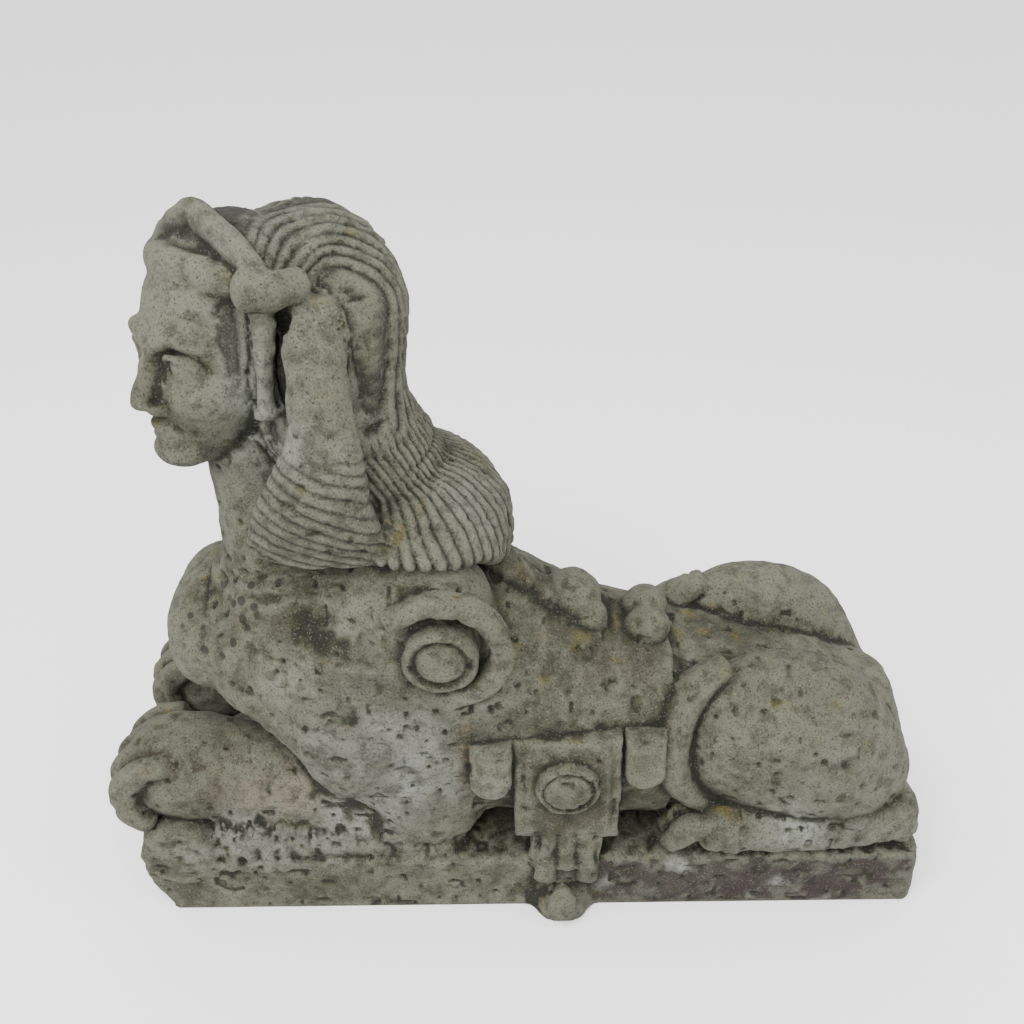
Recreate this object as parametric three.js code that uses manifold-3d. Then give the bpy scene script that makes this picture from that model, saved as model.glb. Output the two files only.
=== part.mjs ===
// Garden sphinx: a lying lioness with a woman's head, carved with its low plinth from one block
// of limestone. Millimetres. The figure faces -X, its left flank is toward -Y, +Z is up, and the
// origin is the middle of the flat underside.

import * as THREE from 'three';
import { mergeVertices } from 'three/addons/utils/BufferGeometryUtils.js';
import Module from 'manifold-3d';

const wasm = await Module();
wasm.setup();

// ---- Driving dimensions ------------------------------------------------------------------

// Heights are measured from a level a little above the underside; the plinth reaches below it.
const PLINTH = { front: -466, rear: 456, half: 148, height: 78, below: 6, corner: 22, belly: 4 };
const ROLL = { x: -439, z: 92, radius: 44, eye: 22, lip: 5, half: 153 };
const BAR = { count: 4, gap: 18, pitch: 21, rise: 17, half: 9 };
const BULGE = { x: 22, width: 120, reach: 26, height: 39 };

// The trunk from the breast to the rump: place, underside, back and half width.
const TRUNK = [
  { x: -372, under: 282, back: 412, half: 104 },
  { x: -350, under: 265, back: 425, half: 115 },
  { x: -320, under: 250, back: 450, half: 127 },
  { x: -290, under: 196, back: 466, half: 137 },
  { x: -255, under: 116, back: 478, half: 141 },
  { x: -215, under: 98, back: 482, half: 143 },
  { x: -145, under: 92, back: 466, half: 140 },
  { x: -80, under: 88, back: 424, half: 136 },
  { x: -20, under: 82, back: 386, half: 131 },
  { x: 40, under: 76, back: 350, half: 126 },
  { x: 100, under: 74, back: 326, half: 122 },
  { x: 160, under: 72, back: 312, half: 118 },
  { x: 240, under: 75, back: 296, half: 112 },
  { x: 320, under: 78, back: 270, half: 100 },
  { x: 372, under: 92, back: 250, half: 86 },
];
const TRUNK_SQUARENESS = 2.35;
const TRUNK_END = 60;

// Rows of a path: place along X, Y and Z, half width, half height, and a twist in degrees.
const NECK = [[-286, 0, 440, 84, 74], [-296, 0, 520, 66, 62], [-300, 2, 600, 64, 62]];
const WEB = [[-385, 0, 118, 42, 52], [-180, 0, 118, 42, 52]];
const SHOULDER = { centre: [-133, -75, 407], radii: [102, 73, 98] };
const RUMP = { centre: [312, 0, 172], radii: [126, 106, 98], tilt: 22 };
const BREAST_SIDE = [[-318, -84, 318, 40, 44], [-262, -92, 274, 46, 46], [-200, -94, 226, 50, 50]];
const TAIL = [
  [396, 0, 220, 32, 26],
  [430, -4, 160, 26, 22],
  [452, -18, 108, 22, 20],
  [444, -50, 88, 16, 15],
];

// The forelegs lie along the plinth and their paws rest on the roll.
const UPPER_ARM = [[-158, -84, 370, 50, 68], [-152, -96, 250, 52, 70], [-142, -94, 124, 52, 66]];
const LOWER_ARM = [
  [-120, -90, 118, 42, 54],
  [-240, -88, 134, 43, 58],
  [-330, -88, 162, 47, 65],
  [-404, -88, 182, 52, 64],
];
const ARM_FOOT = [[-130, -90, 84, 50, 34], [-390, -92, 84, 50, 34]];
const PAW = { centre: [-432, -88, 184], radii: [68, 56, 66], tilt: -20 };
const TOE = { count: 4, y: -88, pitch: 29.5, swept: 0.004 };
const TOE_PATH = [
  [-444, 226, 14, 13],
  [-472, 216, 15.5, 16],
  [-494, 190, 17, 19],
  [-492, 158, 17, 20],
  [-480, 138, 15, 16],
];

// The great thigh, the fold of skin in front of it, and the long hind foot.
const THIGH = { centre: [282, -88, 224], radii: [121, 63, 113], tilt: 14 };
const HAM = { centre: [356, -84, 160], radii: [98, 62, 79], tilt: 20 };
const FOLD = { x: 292, y: 104, z: 226, long: 146, tall: 120, from: 128, to: 236, thick: 24 };
const FOOT = [[428, -106, 112, 30, 36], [320, -112, 108, 33, 32], [205, -112, 108, 38, 32]];
const HIND_TOE = { count: 3, y: -112, pitch: 24 };
const HIND_TOE_PATH = [[200, 118, 14, 15], [172, 116, 14, 17], [152, 92, 13, 14]];

// The head is turned to the figure's left and tipped up a little. Its own frame faces -X.
const HEAD = { x: -294, y: 14, z: 688, turn: 44, tip: 5 };
const SKULL = { centre: [2, 0, 4], radii: [106, 92, 114] };
const CROWN = { centre: [-24, 0, 36], radii: [72, 86, 90] };
const FACE = { half: 82, chin: -122, hairline: 84, depth: 118, back: 20, oval: 150, level: -18 };

// The features of the face: how proud each stands, its place aside and up, and its spread.
const FEATURES = {
  socket: { proud: -13, aside: 34, up: 3, wide: 18, high: 13 },
  eye: { proud: 9, aside: 34, up: -1, wide: 13, high: 8 },
  brow: { proud: 5, aside: 34, up: 20, wide: 26, high: 8 },
  bridge: { proud: 9, aside: 0, up: -6, wide: 9, high: 26 },
  nose: { proud: 13, aside: 0, up: -40, wide: 12, high: 15 },
  cheek: { proud: 5, aside: 38, up: -36, wide: 20, high: 22 },
  upperLip: { proud: 6, aside: 0, up: -71, wide: 20, high: 5 },
  lowerLip: { proud: 6, aside: 0, up: -83, wide: 18, high: 6 },
  chin: { proud: 9, aside: 0, up: -101, wide: 20, high: 12 },
};

// The diadem over the forehead, the roll of hair under it and a knot at each temple.
const DIADEM = { x: -36, lean: 14, half: 97, low: 60, rise: 60, peak: 5, thick: 11, tall: 13, reach: 82 };
const FRINGE = [
  [-34, -88, 70, 15, 15],
  [-68, -46, 82, 15, 15],
  [-86, 0, 88, 15, 15],
  [-68, 46, 80, 15, 15],
  [-34, 88, 66, 15, 15],
];
const NEAR_KNOB = [[-58, -90, 78, 19, 19], [-42, -102, 78, 17, 17], [-14, -104, 80, 15, 15]];
const FAR_KNOB = [[-46, 86, 68, 19, 19], [-30, 100, 68, 17, 17], [-4, 104, 66, 15, 15]];
const EARRING = [[-44, -92, 56, 9, 11], [-47, -96, -40, 9, 9]];
const EARRING_FOOT = { centre: [-45, -94, -44], radii: [15, 15, 7] };

// The hair falls from the crown to a cape over the withers, with a lappet before each shoulder.
const HAIR = { strands: 15, strandDepth: 0.05, cap: 0.36 };
const HAIR_FALL = [
  [-172, 0, 490, 86, 86, 0],
  [-186, 0, 545, 84, 77, 4],
  [-217, 4, 595, 96, 79, 18],
  [-235, 19, 650, 112, 88, 34],
  [-246, 34, 700, 124, 98, 44],
  [-254, 36, 736, 112, 96, 44],
  [-266, 30, 768, 80, 80, 44],
];
const CAPE = { x: -150, z: 470, long: 112, wide: 138, tall: 92, strands: 15, strandDepth: 0.055 };
const HEM = { z: 500, x: -150, fall: 0.25, rise: 60, notch: 90 };
const LAPPET = [[28, 22], [30, 24], [36, 25], [54, 24], [60, 20]];
const LAPPET_TOP = [-4, 104, 50];
const LAPPET_MIDDLE = [-10, 110, 0];
const LEFT_LAPPET = [[-211, -110, 680], [-214, -116, 620], [-230, -122, 552], [-240, -112, 510]];
const RIGHT_LAPPET = [[-352, 104, 610], [-312, 120, 550], [-286, 112, 508]];
const QUEUE = [
  [-96, 0, 505, 40, 20],
  [-64, 0, 455, 34, 22],
  [-50, 0, 410, 28, 20],
  [-16, 0, 374, 26, 18],
  [20, 0, 348, 24, 16],
];
const TUFTS = [
  { centre: [34, 0, 362], radii: [37, 37, 35] },
  { centre: [0, -8, 364], radii: [25, 31, 27] },
  { centre: [56, -22, 344], radii: [27, 21, 24] },
  { centre: [14, -34, 344], radii: [29, 23, 23] },
  { centre: [124, 16, 336], radii: [28, 27, 25] },
  { centre: [124, -16, 330], radii: [28, 27, 23] },
];

// The shoulder scroll, and the saddlecloth with its hanging tabs.
const SCROLL = { x: -110, y: 142, z: 394, boss: 40, eye: 25, outer: 80, band: 26, proud: 10 };
const CURL = { from: 135, to: -125, bends: 8, lean: 4 };
const CLOTH = { front: -90, rear: 170, proud: 6, thick: 14, lean: 5, y: -136 };
const PANEL = { x: 26, half: 61, top: 266, foot: 120, inset: 12, lobeHalf: 42, lobeFoot: 40 };
const MEDAL = { z: 204, radius: 36, eye: 27, depth: 24, lip: 4 };
const FLUTE = { count: 3, pitch: 20, spread: 26, top: 136, foot: 72, rise: 22 };
const TAB = { half: 23, foot: 192, front: -61, rear: 114 };
const BEAD = { centre: [22, -162, 35], radii: [9, 9, 9] };
const TASSEL = { centre: [22, -166, 20], radii: [19, 19, 19] };

const WELD = 1e-4;
const HALF_TURN = Math.PI;
const FULL_TURN = 2 * Math.PI;
const DEGREE = Math.PI / 180;
const ALONG_X = new THREE.Vector3(1, 0, 0);
const ALONG_Y = new THREE.Vector3(0, 1, 0);
const UPWARD = new THREE.Vector3(0, 0, 1);

// ---- Helpers -----------------------------------------------------------------------------

/** The geometry with only its corners, those that meet at a seam made one. */
function welded(geometry) {
  const bare = new THREE.BufferGeometry();
  bare.setAttribute('position', geometry.attributes.position);
  bare.setIndex(geometry.index);
  return mergeVertices(bare, WELD);
}

/** Positive where an indexed closed geometry has its faces turned outward. */
function signedVolume(geometry) {
  const corner = [new THREE.Vector3(), new THREE.Vector3(), new THREE.Vector3()];
  let total = 0;
  for (let first = 0; first < geometry.index.count; first += 3) {
    corner.forEach((point, k) => {
      point.fromBufferAttribute(geometry.attributes.position, geometry.index.getX(first + k));
    });
    total += corner[0].dot(corner[1].cross(corner[2]));
  }
  return total / 6;
}

/** A manifold solid from a closed welded geometry, its faces turned outward. */
function solid(geometry) {
  const inward = signedVolume(geometry) < 0;
  const corners = [];
  for (let first = 0; first < geometry.index.count; first += 3) {
    const [a, b, c] = [0, 1, 2].map((k) => geometry.index.getX(first + k));
    if (a === b || b === c || c === a) continue;
    corners.push(...(inward ? [a, c, b] : [a, b, c]));
  }
  return new wasm.Manifold(new wasm.Mesh({
    numProp: 3,
    vertProperties: new Float32Array(geometry.attributes.position.array),
    triVerts: new Uint32Array(corners),
  }));
}

/** All the geometries joined to one solid. */
function join(geometries) {
  return geometries.map(solid).reduce((whole, piece) => whole.add(piece));
}

/** The same geometry on the left (-Y, as given) and mirrored to the right (+Y). */
function pair(geometry) {
  return [geometry, geometry.clone().scale(1, -1, 1)];
}

/** An ellipsoid, tilted about the Y axis by degrees. */
function ball({ centre, radii, tilt = 0 }, { sides = 12, rings = 8 } = {}) {
  return welded(new THREE.SphereGeometry(1, sides, rings))
    .scale(...radii)
    .rotateY(tilt * DEGREE)
    .translate(...centre);
}

/** A value between two others, at 0 to 1 of the way. */
const mix = THREE.MathUtils.lerp;

/** A smooth hump of height 1 around a middle, with the given spread. */
function hump(value, middle, spread) {
  return Math.exp(-(((value - middle) / spread) ** 2));
}

/** The corner of a superellipse in one direction; power 2 is an ellipse, more is squarer. */
function squared(cosine, power) {
  return Math.sign(cosine) * Math.abs(cosine) ** (2 / power);
}

/** A capsule's corners: share of the way, distance beyond its ends, angle and size of the ring. */
function capsuleCorners(geometry) {
  const corners = geometry.attributes.position;
  return Array.from({ length: corners.count }, (_, i) => {
    const [x, height, z] = [corners.getX(i), corners.getY(i), corners.getZ(i)];
    const along = THREE.MathUtils.clamp(height, -0.5, 0.5);
    return { share: along + 0.5, beyond: height - along, angle: Math.atan2(z, x), ring: Math.hypot(x, z) };
  });
}

/**
 * A rounded limb along a smooth path: a capsule whose rings are moved onto the path. Each row
 * holds a place, the half width along the across direction, the half height and a twist.
 */
function limb(path, options = {}) {
  const { sides = 8, rings = 1, capRings = 1, power = 2, across = ALONG_Y, cap = 0.7 } = options;
  const { flutes = 0, fluteDepth = 0 } = options;
  const spine = new THREE.CatmullRomCurve3(path.map(([x, y, z]) => new THREE.Vector3(x, y, z)));
  const girths = path.map((row) => new THREE.Vector3(row[3], row[4], (row[5] ?? 0) * DEGREE));
  const girth = new THREE.CatmullRomCurve3(girths);
  const geometry = welded(new THREE.CapsuleGeometry(1, 1, capRings, sides, rings));
  capsuleCorners(geometry).forEach(({ share, beyond, angle, ring }, i) => {
    const place = spine.getPoint(share);
    const forward = spine.getTangent(share);
    const size = girth.getPoint(share);
    const sideways = across.clone().applyAxisAngle(forward, size.z);
    sideways.addScaledVector(forward, -sideways.dot(forward)).normalize();
    const upward = new THREE.Vector3().crossVectors(forward, sideways);
    const carved = ring * (1 - fluteDepth * (0.5 + 0.5 * Math.cos(flutes * angle)));
    place.addScaledVector(sideways, carved * squared(Math.cos(angle), power) * size.x);
    place.addScaledVector(upward, carved * squared(Math.sin(angle), power) * size.y);
    place.addScaledVector(forward, beyond * cap * Math.min(size.x, size.y));
    geometry.attributes.position.setXYZ(i, place.x, place.y, place.z);
  });
  return geometry;
}

/** A flat outline in X and Z, given a thickness toward -Y from the plane y = 0. */
function plate(outline, thick) {
  return welded(new THREE.ExtrudeGeometry(outline, {
    depth: thick,
    bevelEnabled: false,
    curveSegments: 5,
  })).rotateX(HALF_TURN / 2);
}

/** The knuckled toes of a paw: one path in X and Z, set side by side about a middle. */
function toes(path, { count, y, pitch, swept = 0 }, options) {
  return Array.from({ length: count }, (_, k) => {
    const across = (k - (count - 1) / 2) * pitch;
    const back = swept * across ** 2;
    return limb(path.map(([x, z, wide, tall]) => [x + back, y + across, z, wide, tall]), options);
  });
}

// ---- Plinth ------------------------------------------------------------------------------

/** The low plinth: a slab whose front end swells outward toward the top. */
function plinth() {
  const { front, rear, half, below, belly, corner, height } = PLINTH;
  const profile = new THREE.Shape();
  profile.moveTo(front, -below);
  profile.lineTo(rear - belly, -below);
  profile.quadraticCurveTo(rear + belly, height / 2, rear - belly, height);
  profile.lineTo(front - corner, height);
  profile.quadraticCurveTo(front - corner, height / 3, front, -below);
  const slab = welded(new THREE.ExtrudeGeometry(profile, {
    depth: 2 * half,
    bevelEnabled: false,
    curveSegments: 3,
    steps: 6,
  })).rotateX(HALF_TURN / 2).translate(0, half, 0);
  const corners = slab.attributes.position;
  for (let i = 0; i < corners.count; i++) {
    const across = Math.abs(corners.getY(i)) / half;
    const x = corners.getX(i);
    corners.setX(i, x - Math.sign(x) * corner * 0.25 * across ** 8);
  }
  return slab;
}

/** The swelling on each long side of the plinth that the cloth's tassel lies on. */
function bulge() {
  const { x, width, reach, height } = BULGE;
  const outline = new THREE.Shape();
  outline.moveTo(x - width / 2, reach);
  outline.bezierCurveTo(x - width / 4, 0, x - width / 4, -reach, x, -reach);
  outline.bezierCurveTo(x + width / 4, -reach, x + width / 4, 0, x + width / 2, reach);
  return welded(new THREE.ExtrudeGeometry(outline, {
    depth: height + PLINTH.below,
    bevelEnabled: false,
    curveSegments: 4,
  })).translate(0, -PLINTH.half, -PLINTH.below);
}

/** A turned disc facing -Y with a raised rim, a sunk ring and a raised eye, its back at y = 0. */
function rosette(radius, eye, depth, lip, sides = 11) {
  const rim = (radius - eye) * 0.45;
  const profile = [
    [0, 0],
    [radius, 0],
    [radius, depth - lip / 2],
    [radius - rim / 2, depth],
    [eye + rim / 2, depth - lip],
    [eye - lip / 2, depth],
    [0, depth],
  ];
  return welded(new THREE.LatheGeometry(profile.map(([r, y]) => new THREE.Vector2(r, -y)), sides));
}

/** The scroll roll across the front edge, and the short upright bars behind its end. */
function roll() {
  const scroll = rosette(ROLL.radius, ROLL.eye, ROLL.half, ROLL.lip).translate(ROLL.x, 0.5, ROLL.z);
  const bars = Array.from({ length: BAR.count }, (_, k) => {
    const x = ROLL.x + ROLL.radius + BAR.gap + BAR.pitch * k;
    const foot = [x, -PLINTH.half + 4, PLINTH.height - BAR.gap, BAR.half, BAR.half];
    const head = [x, -PLINTH.half + 12, PLINTH.height + BAR.rise - 2 * k, BAR.half, BAR.half];
    return limb([foot, head], { sides: 5, across: ALONG_X });
  });
  return [scroll, ...bars].flatMap(pair);
}

// ---- Body --------------------------------------------------------------------------------

/** The trunk's skin between some of its stations: upright ovals, swollen outward by a margin. */
function trunkSkin(stations, margin, end, { sides = 16, rings = 9, capRings = 2 } = {}) {
  const levels = stations.map(({ x, under, back }) => new THREE.Vector3(x, under, back));
  const line = new THREE.CatmullRomCurve3(levels);
  const breadth = new THREE.CatmullRomCurve3(stations.map(({ half }) => new THREE.Vector3(half, 0, 0)));
  const skin = welded(new THREE.CapsuleGeometry(1, 1, capRings, sides, rings));
  capsuleCorners(skin).forEach(({ share, beyond, angle, ring }, i) => {
    const { x, y: under, z: top } = line.getPoint(share);
    const half = breadth.getPoint(share).x + margin;
    const tall = (top - under) / 2 + margin;
    const across = ring * squared(Math.cos(angle), TRUNK_SQUARENESS);
    const up = ring * squared(Math.sin(angle), TRUNK_SQUARENESS);
    skin.attributes.position.setXYZ(i, x + beyond * end, across * half, (under + top) / 2 + up * tall);
  });
  return skin;
}

/** The trunk with its shoulders and rump, the neck, the web between the forelegs and the tail. */
function body() {
  return [
    trunkSkin(TRUNK, 0, TRUNK_END),
    ball(RUMP),
    ...pair(ball(SHOULDER)),
    ...pair(limb(BREAST_SIDE, { rings: 2 })),
    ...pair(limb(TAIL, { sides: 6, rings: 3 })),
    limb(WEB),
    limb(NECK, { sides: 10, rings: 2 }),
  ];
}

/** The left foreleg: shoulder to elbow, elbow to wrist, and the paw with its toes. */
function foreleg() {
  return [
    limb(UPPER_ARM, { rings: 2, power: 2.6 }),
    limb(LOWER_ARM, { rings: 3, power: 2.4 }),
    limb(ARM_FOOT, { power: 3 }),
    ball(PAW, { sides: 9, rings: 6 }),
    ...toes(TOE_PATH, TOE, { sides: 5, rings: 2 }),
  ];
}

/** The left hind leg: the great thigh, the fold of skin in front of it, and the long foot. */
function hindLeg() {
  const { x, y, z, long, tall, from, to, thick } = FOLD;
  const crescent = Array.from({ length: 7 }, (_, k) => {
    const angle = mix(from, to, k / 6) * DEGREE;
    const size = thick * (0.35 + 0.65 * Math.sin(HALF_TURN * (k + 0.6) / 7.2));
    const aside = -y + 22 * hump(k, 0, 1.8);
    return [x + long * Math.cos(angle), aside, z + tall * Math.sin(angle), 1.5 * size, size];
  });
  return [
    ball(THIGH, { sides: 14, rings: 9 }),
    ball(HAM),
    limb(crescent, { sides: 5, rings: 7 }),
    limb(FOOT, { rings: 2, power: 2.3 }),
    ...toes(HIND_TOE_PATH, HIND_TOE, { sides: 5 }),
  ];
}

/** The ridge of the back: the hair's queue behind the cape and the tufts beyond it. */
function back() {
  return [limb(QUEUE, { rings: 4 }), ...TUFTS.map((tuft) => ball(tuft, { sides: 7, rings: 5 }))];
}

// ---- Head --------------------------------------------------------------------------------

/** Turns a geometry made in the head's own frame to where the head is carried. */
function onHead(geometry) {
  return geometry
    .rotateY(HEAD.tip * DEGREE)
    .rotateZ(HEAD.turn * DEGREE)
    .translate(HEAD.x, HEAD.y, HEAD.z);
}

/** A point of the head's own frame, in the part's frame. */
function headPoint(x, y, z) {
  return new THREE.Vector3(x, y, z)
    .applyAxisAngle(ALONG_Y, HEAD.tip * DEGREE)
    .applyAxisAngle(UPWARD, HEAD.turn * DEGREE)
    .add(new THREE.Vector3(HEAD.x, HEAD.y, HEAD.z))
    .toArray();
}

/** How far the calm, regular features stand out from the plain oval of the face. */
function features(across, up) {
  return Object.values(FEATURES).reduce((total, feature) => {
    const near = hump(Math.abs(across), feature.aside, feature.wide);
    return total + feature.proud * near * hump(up, feature.up, feature.high);
  }, 0);
}

/** The face: a box with a fine front, its corners moved onto the oval and its features. */
function face() {
  const mask = welded(new THREE.BoxGeometry(1, 1, 1, 1, 10, 16));
  const corners = mask.attributes.position;
  for (let i = 0; i < corners.count; i++) {
    const angle = corners.getY(i) * HALF_TURN;
    const level = corners.getZ(i) + 0.5;
    const lowest = FACE.chin + 0.5 * FACE.half * (1 - Math.cos(angle));
    const up = mix(lowest, FACE.hairline, level);
    const jaw = 1 - 0.34 * THREE.MathUtils.smoothstep(-up, 30, 125);
    const across = FACE.half * jaw * Math.sin(angle);
    const oval = Math.sqrt(Math.max(0, 1 - ((up - FACE.level) / FACE.oval) ** 2));
    const under = 1 - 0.22 * Math.max(0, 1 - level / 0.1) ** 2;
    const crown = 1 - 0.2 * THREE.MathUtils.smoothstep(level, 0.85, 1.1);
    const front = FACE.depth * (0.1 + 0.9 * Math.cos(angle) * oval * under * crown);
    corners.setXYZ(i, corners.getX(i) < 0 ? -front - features(across, up) : FACE.back, across, up);
  }
  return onHead(mask);
}

/** The diadem that rises to a point over the forehead, and the knot of hair at each temple. */
function headdress() {
  const arc = Array.from({ length: 13 }, (_, k) => {
    const angle = mix(-DIADEM.reach, DIADEM.reach, k / 12) * DEGREE;
    const y = DIADEM.half * Math.sin(angle);
    const z = DIADEM.low + DIADEM.rise * Math.cos(angle) ** 1.3 + DIADEM.peak * hump(y, 0, DIADEM.lean);
    return [DIADEM.x - DIADEM.lean * Math.cos(angle), y, z, DIADEM.thick, DIADEM.tall];
  });
  return [
    limb(arc, { sides: 5, rings: 8, across: ALONG_X }),
    limb(FRINGE, { sides: 5, rings: 5, across: ALONG_X }),
    limb(NEAR_KNOB, { rings: 2 }),
    limb(FAR_KNOB, { rings: 2 }),
  ].map(onHead);
}

/** The hanging ornament between the cheek and the lappet, on both sides. */
function earrings() {
  const drop = limb(EARRING, { sides: 6 });
  const foot = ball(EARRING_FOOT, { sides: 6, rings: 4 });
  return [drop, foot].flatMap(pair).map(onHead);
}

/** The mass of hair round the back of the head, fluted into strands, down to the withers. */
function hair() {
  const fall = limb(HAIR_FALL, {
    sides: 2 * HAIR.strands,
    rings: 6,
    capRings: 1,
    flutes: HAIR.strands,
    fluteDepth: HAIR.strandDepth,
    cap: HAIR.cap,
  });
  return [fall, onHead(ball(SKULL)), onHead(ball(CROWN))];
}

/** The lobed cape of hair over the withers, its strands fanning out from the nape to the hem. */
function cape() {
  const shell = welded(new THREE.SphereGeometry(1, 2 * CAPE.strands, 6)).rotateX(HALF_TURN / 2);
  const corners = shell.attributes.position;
  for (let i = 0; i < corners.count; i++) {
    const [x, y, z] = [corners.getX(i), corners.getY(i), corners.getZ(i)];
    const groove = 0.5 + 0.5 * Math.cos(CAPE.strands * Math.atan2(y, x));
    const strand = 1 - CAPE.strandDepth * groove * Math.hypot(x, y);
    const across = y * CAPE.wide * strand;
    const along = CAPE.x + x * CAPE.long * strand;
    const notch = HEM.rise * Math.max(0, 1 - Math.abs(across) / HEM.notch);
    const hem = HEM.z - HEM.fall * (along - HEM.x) - notch;
    corners.setXYZ(i, along, across, Math.max(CAPE.z + z * CAPE.tall, hem));
  }
  return shell;
}

/** The broad lappets of hair, from beside each temple down in front of the shoulders. */
function lappets() {
  const [x, y, z] = LAPPET_TOP;
  const left = [headPoint(x, -y, z), ...LEFT_LAPPET];
  const right = [headPoint(x, y, z), headPoint(...LAPPET_MIDDLE), ...RIGHT_LAPPET];
  return [left, right].map((path) => limb(path.map((place, k) => [...place, ...LAPPET[k]]), {
    sides: 8,
    rings: 5,
    across: ALONG_X,
  }));
}

// ---- Ornament on the flanks --------------------------------------------------------------

/** The shoulder scroll: a raised band from the chest that curls round a rosette. */
function scroll() {
  const { x, y, z, boss, eye, outer, band, proud } = SCROLL;
  const turns = Array.from({ length: CURL.bends + 1 }, (_, k) => {
    const angle = mix(CURL.from, CURL.to, k / CURL.bends) * DEGREE;
    const radius = outer - band / 2 - k / 2;
    const aside = -y + CURL.lean * (1 - Math.sin(angle));
    return [x + radius * Math.cos(angle), aside, z + radius * Math.sin(angle), proud, band / 2];
  });
  const medal = rosette(boss, eye, 3 * proud, proud / 2).translate(x, -y + 2 * proud, z);
  return [limb(turns, { sides: 4, rings: 10 }), medal].flatMap(pair);
}

/** A hanging piece of cloth on the left flank, leaning out a little toward its foot. */
function hang(outline, proud, thick) {
  return plate(outline, thick)
    .translate(0, 0, -PANEL.top)
    .rotateX(-CLOTH.lean * DEGREE)
    .translate(0, CLOTH.y + thick - proud, PANEL.top);
}

/** An outline that hangs from the panel's top and ends in a half circle. */
function tongue(x, half, top, foot) {
  const outline = new THREE.Shape();
  outline.moveTo(x - half, top);
  outline.lineTo(x - half, foot + half);
  outline.absarc(x, foot + half, half, HALF_TURN, FULL_TURN, false);
  outline.lineTo(x + half, top);
  return outline;
}

/** An outline that hangs from the panel's top and ends square. */
function square(x, half, top, foot) {
  const outline = new THREE.Shape();
  outline.moveTo(x - half, top);
  outline.lineTo(x - half, foot);
  outline.lineTo(x + half, foot);
  outline.lineTo(x + half, top);
  return outline;
}

/** The saddlecloth across the back, and on each side its tabs, panel, medallion and tassel. */
function saddlecloth() {
  const covered = TRUNK.filter(({ x }) => x > CLOTH.front && x < CLOTH.rear);
  const blanket = trunkSkin(covered, CLOTH.proud, 0, { rings: 3, capRings: 1 });
  const { x, half, top, foot, inset, lobeHalf, lobeFoot } = PANEL;
  const front = -PLINTH.half;
  const tabs = [TAB.front, TAB.rear].map((place) => {
    return hang(tongue(place, TAB.half, top, TAB.foot), 0, CLOTH.thick);
  });
  const panel = hang(square(x, half, top, foot), CLOTH.proud / 3, 2 * CLOTH.thick);
  const raised = hang(square(x, half - inset, top, foot + inset), CLOTH.proud, 2 * CLOTH.thick);
  const lobe = hang(tongue(x, lobeHalf, top, lobeFoot), 0, 2 * CLOTH.thick);
  const medallion = rosette(MEDAL.radius, MEDAL.eye, MEDAL.depth, MEDAL.lip);
  medallion.translate(x, front + MEDAL.depth / 2, MEDAL.z);
  const flutes = Array.from({ length: FLUTE.count }, (_, k) => {
    const place = k - (FLUTE.count - 1) / 2;
    const head = [x + place * FLUTE.pitch, front - 2, FLUTE.top, 8, 6];
    const tail = [x + place * FLUTE.spread, front - 6, FLUTE.foot - FLUTE.rise * place ** 2, 10, 7];
    return limb([head, tail], { sides: 5, across: ALONG_X });
  });
  const drops = [ball(BEAD, { sides: 6, rings: 5 }), ball(TASSEL, { sides: 8, rings: 6 })];
  return [blanket, ...[...tabs, panel, raised, lobe, medallion, ...flutes, ...drops].flatMap(pair)];
}

// ---- The one stone -----------------------------------------------------------------------

const pieces = [
  plinth(),
  ...pair(bulge()),
  ...roll(),
  ...body(),
  ...foreleg().flatMap(pair),
  ...hindLeg().flatMap(pair),
  ...back(),
  face(),
  ...headdress(),
  ...earrings(),
  ...hair(),
  cape(),
  ...lappets(),
  ...scroll(),
  ...saddlecloth(),
];

const carved = join(pieces).getMesh();
const stone = new THREE.BufferGeometry();
stone.setAttribute('position', new THREE.BufferAttribute(new Float32Array(carved.vertProperties), 3));
stone.setIndex(Array.from(carved.triVerts));
stone.translate(0, 0, PLINTH.below);
stone.computeVertexNormals();

const sphinx = new THREE.Mesh(
  stone,
  new THREE.MeshStandardMaterial({ color: 0x8f8d7c, roughness: 0.92, metalness: 0 }),
);
sphinx.name = 'sphinx_statue';

const statue = new THREE.Group();
statue.add(sphinx);

export default statue;
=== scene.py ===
import math

import bpy
import numpy as np
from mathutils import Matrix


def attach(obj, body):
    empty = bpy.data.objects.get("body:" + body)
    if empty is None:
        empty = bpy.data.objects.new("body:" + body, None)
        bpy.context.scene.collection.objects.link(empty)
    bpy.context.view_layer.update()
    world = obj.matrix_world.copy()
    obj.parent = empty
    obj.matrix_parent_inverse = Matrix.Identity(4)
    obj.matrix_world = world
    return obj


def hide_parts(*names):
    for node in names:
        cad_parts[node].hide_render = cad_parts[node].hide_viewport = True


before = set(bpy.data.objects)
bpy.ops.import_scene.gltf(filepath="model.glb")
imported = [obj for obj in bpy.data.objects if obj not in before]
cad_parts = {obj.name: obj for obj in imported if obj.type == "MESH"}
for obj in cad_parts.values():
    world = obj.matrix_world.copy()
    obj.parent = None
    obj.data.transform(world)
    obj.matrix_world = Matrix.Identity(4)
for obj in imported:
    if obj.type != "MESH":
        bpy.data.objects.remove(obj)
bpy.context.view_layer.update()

import openvdb
from mathutils import Matrix, Vector

# Garden sphinx carved with its plinth from one block of limestone.
# The carving is modelled as distances in millimetres on a grid, meshed once, then weathered.
# The figure faces -X, its left flank is toward -Y, +Z is up.

MM = 0.001
PITCH = 2.5
FAR = 60.0
LOW = np.array((-550.0, -205.0, -20.0))
HIGH = np.array((495.0, 205.0, 850.0))
UP = np.array((0.0, 0.0, 1.0))
COUNT = np.rint((HIGH - LOW) / PITCH).astype(int) + 1

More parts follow.
